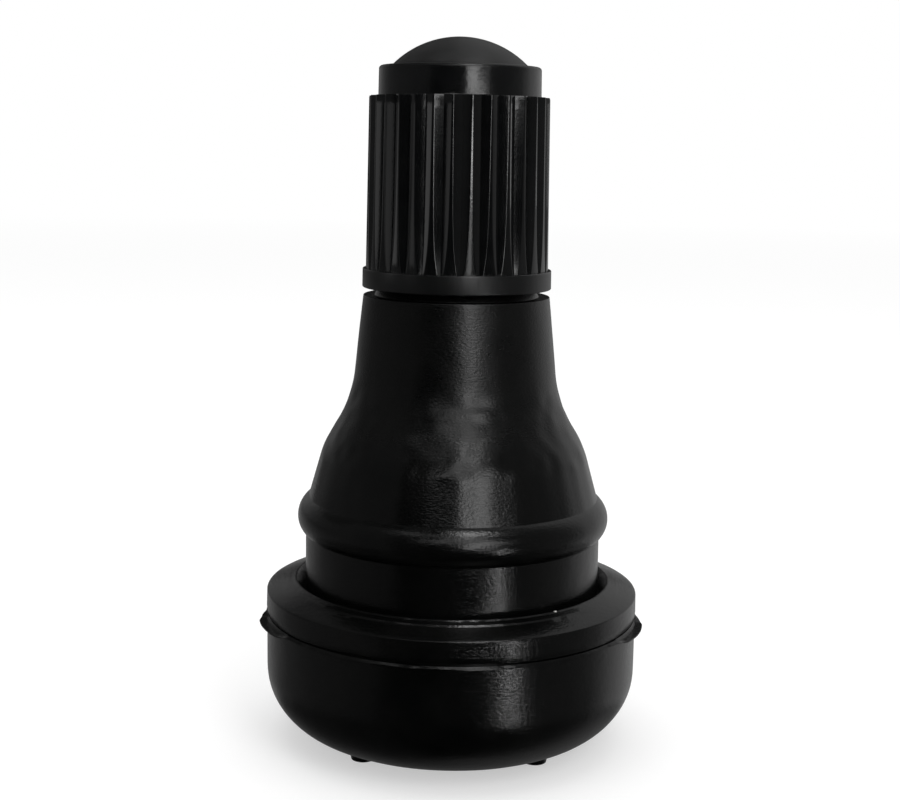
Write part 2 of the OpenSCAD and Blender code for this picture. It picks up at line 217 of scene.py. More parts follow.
def resample(path, step):
    """The path with every stretch longer than step cut into equal parts."""
    dense = [path[0]]
    for a, b in zip(path, path[1:]):
        parts = max(1, math.ceil(math.dist(a, b) / step))
        dense += [(a[0] + (b[0] - a[0]) * k / parts, a[1] + (b[1] - a[1]) * k / parts)
                  for k in range(1, parts + 1)]
    return dense


def heights(start, end, step):
    """Equal steps from start to end, none longer than step."""
    count = max(1, math.ceil(abs(end - start) / step))
    return [start + (end - start) * i / count for i in range(count + 1)]


def smooth(x, x0, x1):
    """Smooth step from 0 at x0 to 1 at x1."""
    t = max(0.0, min(1.0, (x - x0) / (x1 - x0)))
    return t * t * (3 - 2 * t)


def ripple(seed, x, y, z):
    """Smooth noise of about plus or minus one at a point in millimetres."""
    return noise.noise(Vector((x + seed * 17.3, y - seed * 5.1, z + seed * 9.7)))


def ripple_round(seed, angle, reach):
    """Smooth noise round the axis, with more waves for a larger reach."""
    return ripple(seed, reach * math.cos(angle), reach * math.sin(angle), 0)


# Rings and meshes
def even_angles(columns):
    """Angles of evenly spaced columns round the axis."""
    return [TURN * k / columns for k in range(columns)]


def ring_of(angles, height, radius_at):
    """Ring of points at one height, with the radius as a function of the angle."""
    ring = []
    for angle in angles:
        radius = radius_at(angle)
        ring.append((radius * math.cos(angle), radius * math.sin(angle), height))
    return ring


def round_rings(angles, path):
    """Plain round rings along a path of radii and heights."""
    return [ring_of(angles, z, lambda angle: r) for r, z in path]


def lathe_ring(radius, height, columns, shift):
    """Ring of points; shift(angle, radius, height) gives the change of radius and height."""
    ring = []
    for angle in even_angles(columns):
        dr, dz = shift(angle, radius, height)
        ring.append(((radius + dr) * math.cos(angle), (radius + dr) * math.sin(angle), height + dz))
    return ring


def bands(rings, closed=False, first=0):
    """Quads between neighbouring rings of equal length, numbered from first."""
    count = len(rings[0])
    pairs = [(i, i + 1) for i in range(len(rings) - 1)]
    if closed:
        pairs.append((len(rings) - 1, 0))
    return [(first + a * count + k, first + a * count + (k + 1) % count,
             first + b * count + (k + 1) % count, first + b * count + k)
            for a, b in pairs for k in range(count)]


def flat(rings):
    """All points of the rings in one list."""
    return [v for ring in rings for v in ring]


def add_piece(name, vertices, faces, material, sharp):
    """Object from vertices in millimetres, smooth shaded with edges over the sharp angle kept."""
    mesh = bpy.data.meshes.new(name)
    mesh.from_pydata([Vector(v) * MM for v in vertices], [], faces)
    work = bmesh.new()
    work.from_mesh(mesh)
    bmesh.ops.remove_doubles(work, verts=work.verts, dist=1e-8)
    bmesh.ops.recalc_face_normals(work, faces=work.faces)
    work.to_mesh(mesh)
    work.free()
    mesh.shade_smooth()
    mesh.set_sharp_from_angle(angle=math.radians(sharp))
    mesh.materials.append(material)
    return add_object(name, mesh)


def add_object(name, data):
    """Object in the scene from a mesh, lamp or camera."""
    thing = bpy.data.objects.new(name, data)
    bpy.context.scene.collection.objects.link(thing)
    return thing


# Materials
class Tree:
    """Nodes of a material or of the world, with a short call for each kind that is used here."""

    def __init__(self, owner):
        owner.use_nodes = True
        self.nodes = owner.node_tree.nodes
        self.link = owner.node_tree.links.new

    def add(self, kind, **settings):
        """New shader node with its settings."""
        node = self.nodes.new("ShaderNode" + kind)
        for name, value in settings.items():
            setattr(node, name, value)
        return node

    def feed(self, socket, value):
        """Link an output to a socket, or write a plain value in the socket."""
        if isinstance(value, bpy.types.NodeSocket):
            self.link(value, socket)
        else:
            socket.default_value = value

    def place(self):
        """Place on the object, in metres."""
        return self.add("TexCoord").outputs["Object"]

    def split(self, vector):
        """Outputs X, Y and Z of a vector."""
        node = self.add("SeparateXYZ")
        self.feed(node.inputs[0], vector)
        return node.outputs

    def vector(self, kind, a, b=None):
        """Vector maths on one or two vectors."""
        node = self.add("VectorMath", operation=kind)
        self.feed(node.inputs[0], a)
        if b is not None:
            self.feed(node.inputs[1], b)
        return node.outputs

    def stretch(self, vector, scale):
        """Vector scaled along each axis."""
        node = self.add("Mapping")
        self.feed(node.inputs["Vector"], vector)
        self.feed(node.inputs["Scale"], scale)
        return node.outputs["Vector"]

    def noise(self, vector, scale, detail, rough):
        """Noise from 0 to 1."""
        node = self.add("TexNoise")
        for name, value in (("Vector", vector), ("Scale", scale), ("Detail", detail), ("Roughness", rough)):
            self.feed(node.inputs[name], value)
        return node.outputs["Fac"]

    def ramp(self, value, stops):
        """Colour ramp from (position, grey or colour) stops."""
        node = self.add("ValToRGB")
        elements = node.color_ramp.elements
        while len(elements) < len(stops):
            elements.new(0.5)
        for element, (position, colour) in zip(elements, stops):
            element.position = position
            element.color = (*colour, 1) if isinstance(colour, tuple) else (colour, colour, colour, 1)
        self.feed(node.inputs["Fac"], value)
        return node.outputs["Color"]

    def calc(self, kind, a, b=0.0):
        """Maths on two numbers."""
        node = self.add("Math", operation=kind)
        self.feed(node.inputs[0], a)
        self.feed(node.inputs[1], b)
        return node.outputs[0]

    def plus(self, a, b):
        return self.calc("ADD", a, b)

    def minus(self, a, b):
        return self.calc("SUBTRACT", a, b)

    def times(self, a, b):
        return self.calc("MULTIPLY", a, b)

    def mix(self, factor, a, b):
        """Mix of two colours by a factor."""
        node = self.add("Mix", data_type="RGBA")
        self.feed(node.inputs["Factor"], factor)
        for socket, colour in zip((node.inputs[6], node.inputs[7]), (a, b)):
            self.feed(socket, (*colour, 1) if isinstance(colour, tuple) else colour)
        return node.outputs[2]

    def between(self, value, start, end, soft):
        """1 where value lies between start and end, with soft edges."""
        sides = []
        for low_end, high_end in ((start - soft, start + soft), (end + soft, end - soft)):
            node = self.add("MapRange", interpolation_type="SMOOTHSTEP")
            self.feed(node.inputs["From Min"], low_end)
            self.feed(node.inputs["From Max"], high_end)
            self.feed(node.inputs["Value"], value)
            sides.append(node.outputs["Result"])
        return self.times(*sides)

    def bump(self, height, depth, strength, normal=None):
        """Normal of a bump whose full depth is in millimetres, on top of another bump's normal."""
        node = self.add("Bump")
        self.feed(node.inputs["Height"], height)
        self.feed(node.inputs["Distance"], depth * MM)
        self.feed(node.inputs["Strength"], strength)
        if normal:
            self.feed(node.inputs["Normal"], normal)
        return node.outputs["Normal"]


def new_material(name):
    """Material with a principled shader; returns it with its tree and the shader's inputs."""
    material = bpy.data.materials.new(name)
    tree = Tree(material)
    return material, tree, tree.nodes["Principled BSDF"].inputs


# A start below every height and distance on the part, then heights of the rubber's mould lines and satin neck
BELOW_ALL = -1.0
LINES_END_Z = 14.8
LINES_SOFT = 0.6
SATIN_Z = 16.8
SATIN_END_Z = 30.0
SATIN_SOFT = 1.2
# Speck of dust on the flange
DUST_SPECK = (5.16, -6.54, 8.74)
DUST_R = 0.09
DUST_SOFT = 0.03
DUST_COLOUR = (0.7, 0.69, 0.66)


def rubber_material():
    """Black moulded rubber: turned mould lines, fine grain, mottled sheen and one speck of dust."""
    material, tree, shader = new_material("body_rubber")
    place = tree.place()
    height = tree.split(place)["Z"]
    lines = tree.noise(tree.stretch(place, (2000, 2000, 11000)), 1.0, 3.0, 0.6)
    grain = tree.noise(tree.stretch(place, (6500, 6500, 10500)), 1.0, 2.0, 0.5)
    cloud = tree.noise(place, 420, 4.0, 0.6)

    black = tree.ramp(cloud, [(0.35, (0.001, 0.0012, 0.0012)), (0.7, (0.0024, 0.0025, 0.0023))])
    off_speck = tree.vector("DISTANCE", place, Vector(DUST_SPECK) * MM)["Value"]
    speck = tree.between(off_speck, BELOW_ALL * MM, DUST_R * MM, DUST_SOFT * MM)
    tree.feed(shader["Base Color"], tree.mix(speck, black, DUST_COLOUR))

    mottle = tree.plus(tree.times(cloud, 0.6), tree.times(lines, 0.4))
    sheen = tree.ramp(mottle, [(0.3, 0.15), (0.7, 0.24)])
    satin = tree.between(height, SATIN_Z * MM, SATIN_END_Z * MM, SATIN_SOFT * MM)
    tree.feed(shader["Roughness"], tree.plus(sheen, tree.times(satin, 0.1)))
    tree.feed(shader["Specular IOR Level"], 0.42)

    low_down = tree.between(height, BELOW_ALL * MM, LINES_END_Z * MM, LINES_SOFT * MM)
    marks = tree.times(lines, tree.plus(0.15, low_down))
    tree.feed(shader["Normal"], tree.bump(grain, 0.012, 1.0, tree.bump(marks, 0.012, 0.8)))
    return material


def cap_material():
    """Black moulded plastic: dull rim, glossy ribs, a crinkled collar and a dull dome painted paler, as
    painted light from above.
    """
    material, tree, shader = new_material("cap_plastic")
    place = tree.place()
    share = tree.calc("DIVIDE", tree.minus(tree.split(place)["Z"], CAP_Z * MM), CAP_H * MM)
    rim_end = RIM_H / CAP_H
    rib_end = (ROOF_Z - CAP_Z) / CAP_H
    collar_end = (COLLAR_Z - CAP_Z) / CAP_H
    cloud = tree.noise(place, 700, 4.0, 0.6)
    grain = tree.noise(place, 9000, 2.0, 0.5)
    crinkle = tree.noise(place, 3500, 2.0, 0.5)

    black = tree.ramp(cloud, [(0.3, (0.002, 0.0022, 0.0024)), (0.7, (0.0036, 0.0038, 0.004))])
    # Painted light: the dome is the same plastic, painted paler for the light that falls on it from above
    dome_painted_light = tree.ramp(cloud, [(0.35, (0.006, 0.0062, 0.0062)), (0.65, (0.014, 0.0143, 0.0143))])
    on_dome = tree.ramp(share, [(collar_end - 0.005, 0.0), (collar_end + 0.01, 1.0)])
    tree.feed(shader["Base Color"], tree.mix(on_dome, black, dome_painted_light))

    finish = tree.ramp(share, [
        (rim_end - 0.01, 0.32), (rim_end + 0.01, 0.06), (rib_end - 0.01, 0.06),
        (rib_end + 0.01, 0.12), (collar_end - 0.02, 0.12), (collar_end + 0.01, 0.42)])
    tree.feed(shader["Roughness"], tree.plus(finish, tree.times(cloud, 0.08)))

    on_collar = tree.between(share, rib_end, collar_end, 0.01)
    crinkled = tree.bump(tree.times(crinkle, on_collar), 0.012, 0.6)
    tree.feed(shader["Normal"], tree.bump(grain, 0.004, 0.5, crinkled))
    return material


def brass_material(name, colour, line_scale):
    """Turned brass: fine lathe lines and a little tarnish."""
    material, tree, shader = new_material(name)
    place = tree.place()
    lines = tree.noise(tree.stretch(place, (300, 300, line_scale)), 1.0, 3.0, 0.6)
    tarnish = tree.noise(place, 500, 5.0, 0.65)
    dark = tuple(c * 0.55 for c in colour)
    tree.feed(shader["Base Color"], tree.ramp(tarnish, [(0.3, dark), (0.6, colour)]))
    tree.feed(shader["Roughness"], tree.ramp(tarnish, [(0.3, 0.45), (0.65, 0.24)]))
    tree.feed(shader["Normal"], tree.bump(lines, 0.008, 0.5))
    tree.feed(shader["Metallic"], 1.0)
    return material


def seal_material(name, colour, dull):
    """Smooth rubber or sealing plastic with a faint cloud and grain."""
    material, tree, shader = new_material(name)
    place = tree.place()
    cloud = tree.noise(place, 900, 3.0, 0.6)
    grain = tree.noise(place, 7000, 2.0, 0.5)
    dark = tuple(c * 0.7 for c in colour)
    tree.feed(shader["Base Color"], tree.ramp(cloud, [(0.3, dark), (0.7, colour)]))
    tree.feed(shader["Roughness"], tree.ramp(cloud, [(0.3, dull), (0.7, dull + 0.12)]))
    tree.feed(shader["Normal"], tree.bump(grain, 0.008, 0.4))
    return material


def wire_material():
    """Drawn steel wire."""
    material, tree, shader = new_material("spring_steel")
    cloud = tree.noise(tree.place(), 3000, 3.0, 0.6)
    tree.feed(shader["Base Color"], tree.ramp(cloud, [(0.3, 0.42), (0.7, 0.6)]))
    tree.feed(shader["Roughness"], tree.ramp(cloud, [(0.3, 0.22), (0.7, 0.36)]))
    tree.feed(shader["Metallic"], 1.0)
    return material


RUBBER = rubber_material()
PLASTIC = cap_material()
STEM_BRASS = brass_material("stem_brass", (0.72, 0.53, 0.24), 9000)
CORE_BRASS = brass_material("core_brass", (0.76, 0.6, 0.32), 12000)
SEAL_RUBBER = seal_material("seal_rubber", (0.016, 0.016, 0.016), 0.5)
GASKET = seal_material("gasket_plastic", (0.5, 0.06, 0.05), 0.4)
WIRE = wire_material()


# Outline of the rubber body
def body_foot():
    """Outline from the air mouth round the heel to the wall under the flash."""
    return outline([
        (MOUTH_R + MOUTH_CHAMFER, NUB_H),
        (BASE_R, NUB_H, HEEL_R),
        (BASE_R, FOOT_END_Z)], 24)


def body_flange():
    """Outline from the wall above the flash over the flange's step and lip into the moat."""
    wall = resample([(BASE_R + WALL_BULGE, WALL_START_Z), (BASE_R, FLANGE_EDGE_Z)], 0.1)
    return wall[:-1] + outline([
        (BASE_R, FLANGE_EDGE_Z),
        (BASE_R, FLANGE_Z, FLANGE_ROUND),
        STEP_FOOT,
        STEP_TOP,
        STEP_END,
        (LIP_R + 0.04, LIP_Z - 0.01),
        (LIP_R - 0.03, LIP_Z),
        (GROOVE_R + 0.03, MOAT_Z),
        (GROOVE_R, MOAT_Z + 0.05),
        (GROOVE_R, MOAT_Z + GROOVE_CORNER)], 5)


def body_groove_and_bead():
    """Outlines of the groove that the rim sits in and of the bead above it."""
    bead_centre = (GROOVE_R + BEAD_OUT - BEAD_ROUND, BEAD_Z)
    bead_start = math.degrees(math.asin((BEAD_ROUND - BEAD_OUT) / BEAD_ROUND)) - 90
    bead_foot = BEAD_Z + BEAD_ROUND * math.sin(math.radians(bead_start))
    groove = resample([(GROOVE_R, MOAT_Z + GROOVE_CORNER), (GROOVE_R, bead_foot - 0.05)], 0.25)
    return groove[1:], arc(bead_centre, BEAD_ROUND, bead_start, BEAD_END, 22)


def body_neck(bead_top):
    """Outline from the bead over shoulder and knee to the sleeve, with closer points round the knee."""
    neck = outline([
        bead_top,
        (SHOULDER_R, SHOULDER_Z, SHOULDER_ROUND),
        (KNEE_R, KNEE_Z, KNEE_ROUND),
        (NECK_TOP_R, BODY_TOP, NECK_TOP_ROUND),
        (SLEEVE_FOOT_R, BODY_TOP),
        (SLEEVE_R, BODY_TOP + SLEEVE_H),
        (THREAD_R + BOND_FILM, BODY_TOP + SLEEVE_H)], 14)[1:]
    path = []
    for a, b in zip(neck, neck[1:]):
        close = KNEE_Z - 3.2 < a[1] < KNEE_Z + 0.8
        path += resample([a, b], 0.09 if close else 0.25)[:-1]
    return path + [neck[-1]]


def body_inside():
    """Outline of the rubber against the stem, from the neck's top down to the air mouth."""
    film = BOND_FILM
    return [
        (THREAD_R + film, ROOT_Z),
        (SHANK_R + film, ROOT_Z - (THREAD_R - SHANK_R)),
        (SHANK_R + film, FOOT_TOP + film),
        (FOOT_R + film, FOOT_TOP + film),
        (FOOT_R + film, FOOT_Z - film),
        (MOUTH_R, FOOT_Z - film),
        (MOUTH_R, NUB_H + MOUTH_CHAMFER)]


# Unevenness of the rubber body
# Shallow lumps and dents: azimuth, height, half width, half height, rise
LUMPS = [
    (8.0, 18.5, 1.5, 0.16, 0.03), (-7.0, 18.25, 0.9, 0.2, 0.035), (13.0, 17.95, 0.6, 0.3, -0.035),
    (-4.5, 15.6, 0.35, 0.25, 0.03), (17.2, 7.55, 0.5, 0.3, 0.02)]
# Heights between which the small unevenness grows below the knee and fades above it
LUMPY_START = (14.2, 15.5)
LUMPY_END = (18.5, 20.0)
# Waves along the step and the lip: outer limit, radius that parts the two, height, reach of the noise
WAVE_LIMIT_R = 9.0
WAVE_PART_R = 8.6
WAVE_H = 0.016
WAVE_REACH = 26
# The waves fade between these azimuths, and beyond them the step and the lip sink
FRONT_FADE = (35, 60)
STEP_SINK = 0.05
LIP_SINK = 0.03


def lump_rise(angle, radius, height):
    """Sum of the lumps and dents at a point."""
    rise = 0.0
    for azimuth, z, half_width, half_height, top in LUMPS:
        off = (angle - math.radians(azimuth - 90) + math.pi) % TURN - math.pi
        reach = (off * radius / half_width) ** 2 + ((height - z) / half_height) ** 2
        if reach < 9:
            rise += top * math.exp(-reach)
    return rise


def step_sink(radius):
    """How far the flange's step and lip sink at the sides."""
    sink = 0.0
    if radius < STEP_FOOT[0] - 0.04:
        sink += STEP_SINK * min(1.0, max(0.0, (radius - STEP_END[0]) / (STEP_TOP[0] - STEP_END[0])))
    if radius < STEP_END[0] - 0.03:
        sink += LIP_SINK
    return sink


def lip_wander(angle, radius, height):
    """Uneven height of the flange's fine step and lip, which breaks their glints and fades to the sides."""
    if not (LIP_R - 0.1 < radius < WAVE_LIMIT_R and FLANGE_Z < height < LIP_Z + 0.1):
        return 0.0
    seed = 7 if radius > WAVE_PART_R else 8
    front = 1 - smooth(abs(math.degrees(angle) - 270), *FRONT_FADE)
    return WAVE_H * front * ripple_round(seed + height, angle, WAVE_REACH) - step_sink(radius) * (1 - front)


def body_wander(angle, radius, height):
    """Small unevenness of the moulding, larger round the knee."""
    x, y = radius * math.cos(angle), radius * math.sin(angle)
    lumpy = smooth(height, *LUMPY_START) * (1 - smooth(height, *LUMPY_END))
    broad = 0.02 * ripple(1, x * 0.35, y * 0.35, height * 0.35)
    small = (0.006 + 0.03 * lumpy) * ripple(2, x * 1.1, y * 1.1, height * 1.1)
    return broad + small + lump_rise(angle, radius, height), lip_wander(angle, radius, height)


def outside_wander(angle, radius, height):
    """Unevenness that leaves the air mouth and the neck's top as they are."""
    if radius <= MOUTH_R + 1 or height >= BODY_TOP - 0.01:
        return 0.0, 0.0
    return body_wander(angle, radius, height)


# Moulding flash by azimuth: reach and droop of its edge
FLASH_EARS = [
    (-180, 0.14, 0.0), (-96, 0.12, 0.0), (-86, 0.05, 0.0), (-78, 0.46, 0.0), (-74, 0.48, 0.0),
    (-70, 0.44, 0.02), (-65, 0.38, 0.03), (-60, 0.28, 0.02), (-54, 0.16, 0.0), (-48, 0.11, 0.0),
    (-15, 0.1, 0.0), (15, 0.09, 0.0), (50, 0.11, 0.0), (56, 0.16, 0.0), (60, 0.25, 0.01), (64, 0.38, 0.02),
    (69, 0.46, 0.02), (74, 0.48, 0.0), (80, 0.42, 0.0), (87, 0.06, 0.0), (180, 0.14, 0.0)]
# Section of the flash: share of its reach, height in front where its face slopes, height at the flat ears
FLASH_SECTION = [
    (0.0, -0.13, -0.13), (0.6, -0.1, -0.08), (0.98, -0.08, -0.04), (1.0, -0.07, 0.0), (0.97, -0.06, 0.03),
    (0.1, 0.06, 0.05)]
# Reach between which the flash turns into an ear, and how far an ear hangs down
EAR_REACH = (0.18, 0.34)
EAR_DROP = 0.2
# Dark gap above the flash: height at the sides, added height in front, azimuths where that grows and ends
GAP_H = 0.03
GAP_FRONT_H = 0.11
GAP_GROWS = (-50, -25)
GAP_ENDS = (8, 20)
# Section of the gap: inset, height over the flash, share of the gap's height
GAP_SECTION = [(0.02, 0.06, 0.0), (0.14, 0.08, 0.0), (0.12, 0.09, 0.8), (0.02, 0.1, 1.0)]


def azimuth_of(angle):
    """Azimuth in degrees of an angle from the X axis."""
    return (math.degrees(angle) + 270) % 360 - 180


def flash_edge(angle):
    """Reach of the flash at an angle, how far its edge is bent up, and its share of an ear."""
    azimuth = azimuth_of(angle)
    reach, droop = FLASH_EARS[-1][1:]
    for (a0, r0, d0), (a1, r1, d1) in zip(FLASH_EARS, FLASH_EARS[1:]):
        if a0 <= azimuth <= a1:
            t = (azimuth - a0) / (a1 - a0)
            reach, droop = r0 + (r1 - r0) * t, d0 + (d1 - d0) * t
    ear = smooth(reach, *EAR_REACH)
    ragged = 1 + 0.35 * ripple_round(3, angle, 9) + 0.3 * ripple_round(4, angle, 30)
    bend = 0.04 * ripple_round(5, angle, 6) * (1 - ear) - droop
    return reach * (ragged + (1 - ragged) * ear), bend, ear


def gap_height(angle):
    """Height of the dark gap above the flash at an angle."""
    azimuth = azimuth_of(angle)
    front = smooth(azimuth, *GAP_GROWS) * (1 - smooth(azimuth, *GAP_ENDS))
    return (GAP_H + GAP_FRONT_H * front) * (1 + 0.5 * ripple_round(6, angle, 14))


def flash_ring(share, front_rise, ear_rise):
    """Ring of the flash at a share of its reach."""
    def shift(angle, radius, height):
        reach, bend, ear = flash_edge(angle)
        rise = front_rise + (ear_rise - front_rise) * ear
        return reach * share, rise + bend * share - EAR_DROP * ear

    return lathe_ring(BASE_R, FLASH_Z, BODY_COLUMNS, shift)


def gap_ring(inset, rise, open_share):
    """Ring of the dark gap above the flash."""
    def shift(angle, radius, height):
        return -inset, rise + gap_height(angle) * open_share

    return lathe_ring(BASE_R, FLASH_Z, BODY_COLUMNS, shift)


def body_rings():
    """Rings of the rubber body, round the outside and back through the inside."""
    groove, bead = body_groove_and_bead()
    upper = resample(body_flange() + groove, 0.3) + resample(bead, 0.3) + body_neck(bead[-1])
    rings = [lathe_ring(r, z, BODY_COLUMNS, outside_wander) for r, z in resample(body_foot(), 0.35)]
    rings += [flash_ring(*point) for point in FLASH_SECTION]
    rings += [gap_ring(*point) for point in GAP_SECTION]
    rings += [lathe_ring(r, z, BODY_COLUMNS, outside_wander) for r, z in upper]
    return rings + round_rings(even_angles(BODY_COLUMNS), body_inside())


def add_nub(vertices, faces, turn):
    """Small round nub under the base, closed on its own and sunk in the base."""
    middle = Vector((NUB_RING_R * math.cos(turn), NUB_RING_R * math.sin(turn), 0))
    profile = [(NUB_R - 0.12, 0.0), (NUB_R - 0.03, 0.04), (NUB_R, 0.14), (NUB_R, NUB_H + NUB_SUNK)]
    rings = round_rings(even_angles(NUB_COLUMNS), profile)
    first = len(vertices)
    vertices += [tuple(Vector(p) + middle) for p in flat(rings)]
    last = len(vertices) - 1
    faces += bands(rings, first=first)
    faces.append(tuple(first + k for k in range(NUB_COLUMNS)))
    faces.append(tuple(last - k for k in range(NUB_COLUMNS)))


def make_body():
    """Rubber body with the nubs under its base."""
    rings = body_rings()
    vertices = flat(rings)
    faces = bands(rings, closed=True)
    for i in range(NUB_COUNT):
        add_nub(vertices, faces, TURN * (i + 0.5) / NUB_COUNT)
    body = add_piece("rubber_body_moulding", vertices, faces, RUBBER, 20)
    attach(body, "valve")
    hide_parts("rubber_body")


# Stem
def thread_wave(angle, height, pitch):
    """Trapezoid thread form, 0 in the groove and 1 on the crest, along a right-hand helix."""
    phase = (height / pitch - angle / TURN) % 1.0
    return smooth(abs(2 * phase - 1), 0.18, 0.82)


def cut_ring(angles, height, radius, depth):
    """Ring at one height of a wall with the stem's thread cut to a depth."""
    return ring_of(angles, height, lambda a: radius - depth * (1 - thread_wave(a, height, THREAD_PITCH)))


def stem_thread(angles):
    """Rings of the thread under the cap, up to the chamfered end."""
    rings = []
    for z in heights(THREAD_Z, STEM_TOP, THREAD_PITCH / 12):
        run_in = smooth(z, THREAD_Z, THREAD_Z + THREAD_RUN)
        run_out = 1 - smooth(z, STEM_TOP - THREAD_RUN, STEM_TOP)
        chamfer = STEM_CHAMFER_SLOPE * max(0.0, z - (STEM_TOP - STEM_CHAMFER))
        rings.append(cut_ring(angles, z, THREAD_R - chamfer, run_in * run_out * THREAD_DEPTH))
    return rings


def stem_chamber(angles):
    """Rings of the threaded chamber for the core, from the stem's end down."""
    rings = []
    for z in reversed(heights(CHAMBER_Z, STEM_TOP, CORE_THREAD_PITCH / 10)):
        radius = CHAMBER_R + max(0.0, z - (STEM_TOP - STEM_CHAMFER))
        depth = CORE_THREAD_DEPTH * smooth(z, *CORE_THREAD_IN) * (1 - smooth(z, *CORE_THREAD_OUT))
        rings.append(ring_of(angles, z, lambda a: radius - depth * thread_wave(a, z, CORE_THREAD_PITCH)))
    return rings


def make_stem():
    """Brass stem with its outer thread and the chamber for the core."""
    angles = even_angles(STEM_COLUMNS)
    shank = [
        (AIR_R, FOOT_Z), (FOOT_R, FOOT_Z), (FOOT_R, FOOT_TOP), (SHANK_R, FOOT_TOP),
        (SHANK_R, ROOT_Z - (THREAD_R - SHANK_R)), (THREAD_R, ROOT_Z), (THREAD_R, THREAD_Z - 0.05)]
    bore = [(CUP_ROOM_R, SEAT_Z), (CUP_ROOM_R, CUP_ROOM_Z), (AIR_R, CUP_ROOM_Z)]
    rings = round_rings(angles, shank) + stem_thread(angles)
    rings += stem_chamber(angles) + round_rings(angles, bore)
    stem = add_piece("valve_stem_turned", flat(rings), bands(rings, closed=True), STEM_BRASS, 40)
    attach(stem, "valve")
    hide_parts("valve_stem")


# Cap
def rib_columns(half_width, radius):
    """Angles from a groove's middle and share of groove depth, over one pitch of the ribs."""
    edge = half_width / radius
    soft = RIB_SOFT / radius
    side = [
        (0.25 * edge, 0.75), (0.5 * edge, 0.5), (edge - 2 * soft, 2 * soft / edge),
        (edge - soft, soft / edge), (edge, 0.12 * soft / edge), (edge + soft, 0.0)]
    other_side = [(-a, share) for a, share in reversed(side)]
    middle_of_rib = (TURN / RIB_COUNT / 2, 0.0)
    return other_side + [(0.0, 1.0)] + side + [middle_of_rib]


def rib_ring(height, tip, depth):
    """Ring of the ribbed skirt at one height."""
    half_width = max(0.05, depth / math.tan(RIB_WALL))
    pattern = rib_columns(half_width, tip)
    ring = []
    for i in range(RIB_COUNT):
        middle = RIB_PHASE + TURN * i / RIB_COUNT
        for a, share in pattern:
            r = tip - depth * share
            ring.append((r * math.cos(middle + a), r * math.sin(middle + a), height))
    return ring


def cap_ribs():
    """Rings of the ribbed skirt, whose grooves run out towards the rim."""
    rings = []
    for share in RIB_SHARES:
        tip = RIB_LOW_R + (RIB_TOP_R - RIB_LOW_R) * share
        run_out = (RIB_DEPTH_MID - RIB_DEPTH_LOW) * math.exp(-share * RIB_H / RIB_RUN_OUT)
        depth = RIB_DEPTH_MID + (RIB_DEPTH_TOP - RIB_DEPTH_MID) * share - run_out
        if share == RIB_SHARES[-1]:
            tip -= RIB_SOFT
        rings.append(rib_ring(RIB_Z + RIB_H * share, tip, depth))
    return rings


def cap_outside(angles):
    """Rings of the cap's outside, from its lower edge to just below the top of the dome."""
    rim = outline([
        (CAP_LEAD_R, CAP_Z),
        (RIM_LOW_R, CAP_Z, RIM_ROUND),
        (RIM_TOP_R, RIB_Z - 0.02, RIM_ROUND),
        (RIB_LOW_R - 0.3, RIB_Z + 0.02)], 6)[:-1]
    collar = outline([
        (COLLAR_R + 0.02, ROOF_Z + 0.02),
        (COLLAR_R, ROOF_Z + 0.1),
        (COLLAR_R - 0.02, COLLAR_Z, COLLAR_ROUND),
        (DOME_R, COLLAR_Z)], 6)
    dome_h = CAP_TOP - COLLAR_Z
    sphere_r = (DOME_R ** 2 + dome_h ** 2) / (2 * dome_h)
    half = math.degrees(math.asin(DOME_R / sphere_r))
    dome = arc((0.0, CAP_TOP - sphere_r), sphere_r, 90 - half, 90, 20)[1:-1]
    return round_rings(angles, rim) + cap_ribs() + round_rings(angles, collar + dome)


def cap_inside(angles):
    """Rings of the cap's inside: lead, thread, room for the seal and hollow under the dome."""
    rings = round_rings(angles, [(CAP_LEAD_R, CAP_THREAD_Z)])
    for z in heights(CAP_THREAD_Z, CAP_THREAD_END, THREAD_PITCH / 12):
        run_in = smooth(z, CAP_THREAD_Z, CAP_THREAD_Z + 0.4)
        run_out = 1 - smooth(z, CAP_THREAD_END - THREAD_RUN, CAP_THREAD_END)
        rings.append(cut_ring(angles, z, CAP_BORE_R, run_in * run_out * THREAD_DEPTH))
    hollow_top = ROOF_Z + HOLLOW_H
    return rings + round_rings(angles, [
        (CAP_BORE_R, ROOF_Z), (HOLLOW_R, ROOF_Z), (HOLLOW_R, hollow_top - HOLLOW_CHAMFER),
        (HOLLOW_R - HOLLOW_CHAMFER, hollow_top)])


def make_cap():
    """Cap closed by its dome, with the thread inside."""
    angles = [math.atan2(p[1], p[0]) for p in rib_ring(0.0, RIB_TOP_R, RIB_DEPTH_TOP)]
    columns = len(angles)
    outside = cap_outside(angles)
    vertices = flat(outside) + [(0.0, 0.0, CAP_TOP)]
    faces = bands(outside)
    apex = len(vertices) - 1
    last = apex - columns
    faces += [(last + k, last + (k + 1) % columns, apex) for k in range(columns)]

    # The inside has half as many columns, so each face of the lower edge joins two outside to one inside
    inside = cap_inside(angles[::2])
    half = columns // 2
    first = len(vertices)
    vertices += flat(inside)
    faces += bands(inside, first=first)
    for k in range(half):
        outer = [(2 * k + j) % columns for j in range(3)]
        faces.append((first + k, *outer, first + (k + 1) % half))
    roof = first + (len(inside) - 1) * half
    faces.append(tuple(roof + k for k in range(half)))

    cap = add_piece("valve_cap_moulding", vertices, faces, PLASTIC, 30)
    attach(cap, "cap")
    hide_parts("valve_cap")


